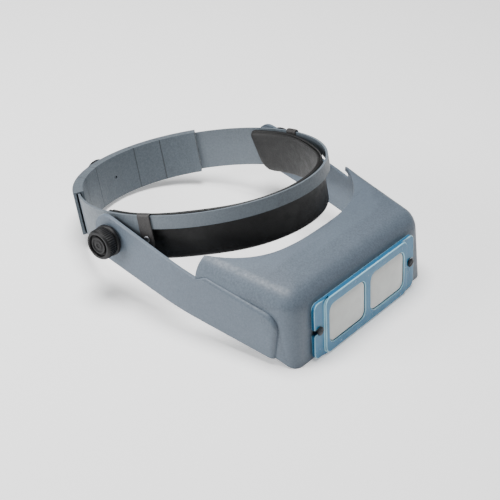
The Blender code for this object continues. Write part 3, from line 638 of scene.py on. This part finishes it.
def build_knob_cap(name, node, body, origin, axis, key):
    """The disc in a knob's face: a raised rim, two turned steps and a small centre."""
    low, high, radius = span(node, origin, axis)
    profile = [(0.3 * MM, low, 0), (radius - 0.1 * MM, low, 0), (radius, low + 0.15 * MM, 0),
               (radius, high - 0.35 * MM, 0), (radius - 0.12 * MM, high - 0.1 * MM, 0),
               (radius - 0.35 * MM, high, 0), (radius * 0.80, high, 0), (radius * 0.76, high - 0.12 * MM, 0),
               (radius * 0.74, high - 0.45 * MM, 0), (radius * 0.56, high - 0.5 * MM, 0),
               (radius * 0.53, high - 0.25 * MM, 0), (radius * 0.50, high - 0.15 * MM, 0),
               (radius * 0.28, high - 0.15 * MM, 0), (radius * 0.25, high - 0.25 * MM, 0),
               (radius * 0.24, high - 0.5 * MM, 0), (0.2 * MM, high - 0.55 * MM, 0)]
    cap = piece(name, turned(profile, axis_frame(origin, axis), 72), key, body, "cap_plastic", node)
    sharp_edges(cap, 50)


def build_knobs():
    for side, sign in SIDES:
        axis = Vector((sign, 0, 0))
        body = side + "_pivot_knob"
        build_knob("tilt_knob_" + side, "pivot_knob_" + side, body, PIVOT, axis, 44)
        build_knob_cap("tilt_knob_disc_" + side, "pivot_knob_cap_" + side, body, PIVOT, axis, "cap_" + side)
    build_knob("size_knob_grip", "clamp_knob", "size_knob", CLAMP_ORIGIN, CLAMP_AXIS, 50)
    build_knob_cap("size_knob_disc", "clamp_knob_cap", "size_knob", CLAMP_ORIGIN, CLAMP_AXIS, "cap_rear")


def build_plate_screws():
    """Black screws with a fine grip round the head and a driver slot across it."""
    for side, sign in SIDES:
        origin = Vector(JOINTS[side + "_screw_turn"]["pos_m"])
        low, high, head = span("plate_screw_" + side, origin, PLATE_AXIS)
        shank = 1.5 * MM
        base = high - 1.6 * MM
        profile = [(0.2 * MM, low, 0), (shank - 0.3 * MM, low, 0), (shank, low + 0.3 * MM, 0)]
        turns = int((base - low - 1.0 * MM) / (0.25 * MM))
        for turn in range(turns):
            groove = 0.16 * MM if turn % 2 else 0.0
            profile.append((shank - groove, low + 0.4 * MM + turn * 0.25 * MM, 0))
        profile += [(shank, base, 0), (head - 0.15 * MM, base, 0), (head, base + 0.15 * MM, 0.12 * MM),
                    (head, base + 0.85 * MM, 0.12 * MM), (head - 0.2 * MM, base + 1.15 * MM, 0),
                    (head * 0.78, high - 0.12 * MM, 0), (head * 0.45, high, 0), (0.2 * MM, high, 0)]
        matrix = axis_frame(origin, PLATE_AXIS)
        screw = piece("lens_screw_" + side, turned(profile, matrix, 72, 24), "screw", side + "_plate_screw",
                      "screw_black", "plate_screw_" + side)
        slot = bmesh.new()
        bmesh.ops.create_cube(slot, size=1)
        bmesh.ops.scale(slot, vec=(3 * head, 0.65 * MM, 1.5 * MM), verts=slot.verts)
        bmesh.ops.translate(slot, vec=(0, 0, high + 0.05 * MM), verts=slot.verts)
        slot.transform(matrix @ Matrix.Rotation(sign * 0.5, 4, "Z"))
        cut_away(screw, slot)
        sharp_edges(screw, 40)


def cut_away(obj, bm):
    """Cut the mesh in bm out of obj, and leave obj as a plain mesh again."""
    mesh = bpy.data.meshes.new("cutter")
    bmesh.ops.recalc_face_normals(bm, faces=bm.faces)
    bm.to_mesh(mesh)
    bm.free()
    tool = link(bpy.data.objects.new("cutter", mesh))
    boolean = obj.modifiers.new("cut", "BOOLEAN")
    boolean.object = tool
    boolean.solver = "EXACT"
    bpy.context.view_layer.update()
    evaluated = obj.evaluated_get(bpy.context.evaluated_depsgraph_get())
    finished = bpy.data.meshes.new_from_object(evaluated)
    obj.modifiers.remove(boolean)
    obj.data = finished
    bpy.data.objects.remove(tool)


# ---------------------------------------------------------------- floor, light and camera

def build_floor():
    bm = bmesh.new()
    bmesh.ops.create_grid(bm, x_segments=1, y_segments=1, size=6.0)
    mesh = bpy.data.meshes.new("floor")
    bm.to_mesh(mesh)
    bm.free()
    floor = link(bpy.data.objects.new("floor", mesh))
    shader = Shader("floor_paper", 0.9)
    stops = [(0.3, (0.90, 0.90, 0.90)), (0.7, (0.92, 0.92, 0.92))]
    shader.link(shader.colours(shader.noise(3), stops), "Base Color")
    shader.set("Emission Color", (1, 1, 1, 1))
    shader.set("Emission Strength", 0.34)
    mesh.materials.append(shader.material)


def area_light(name, place, size, power, aim=(0, -0.03, 0.03)):
    light = bpy.data.lights.new(name, "AREA")
    light.shape = "DISK"
    light.size = size
    light.energy = power
    obj = link(bpy.data.objects.new(name, light))
    obj.location = place
    obj.rotation_euler = (Vector(aim) - Vector(place)).to_track_quat("-Z", "Y").to_euler()


def build_lights():
    world = bpy.data.worlds.new("studio")
    bpy.context.scene.world = world
    world.use_nodes = True
    background = world.node_tree.nodes["Background"]
    background.inputs["Color"].default_value = (1, 1, 1, 1)
    background.inputs["Strength"].default_value = 0.16
    area_light("top_light", place=(0.0, 0.15, 1.2), size=0.7, power=27)
    area_light("rear_left_light", place=(-1.0, 0.6, 0.5), size=0.6, power=14)


# Metres, degrees about X, Y and Z, and mm on a sensor 36 mm wide
CAMERA_PLACE = (-0.62138, -0.48048, 0.52447)
CAMERA_ANGLES = (56.283, -3.403, -51.506)
CAMERA_LENS = 93.895


def build_camera():
    camera = bpy.data.cameras.new("camera")
    camera.sensor_width = 36
    camera.lens = CAMERA_LENS
    camera.clip_start = 0.05
    camera.clip_end = 20
    obj = link(bpy.data.objects.new("camera", camera))
    turn = Euler([math.radians(angle) for angle in CAMERA_ANGLES])
    obj.matrix_world = Matrix.LocRotScale(Vector(CAMERA_PLACE), turn, None)
    bpy.context.scene.camera = obj


dress_nodes()
build_strip()
build_comfort_band()
for side, sign in SIDES:
    build_tab(side, sign)
    build_rivet(side, sign)
build_knobs()
build_plate_screws()
build_floor()
build_lights()
build_camera()
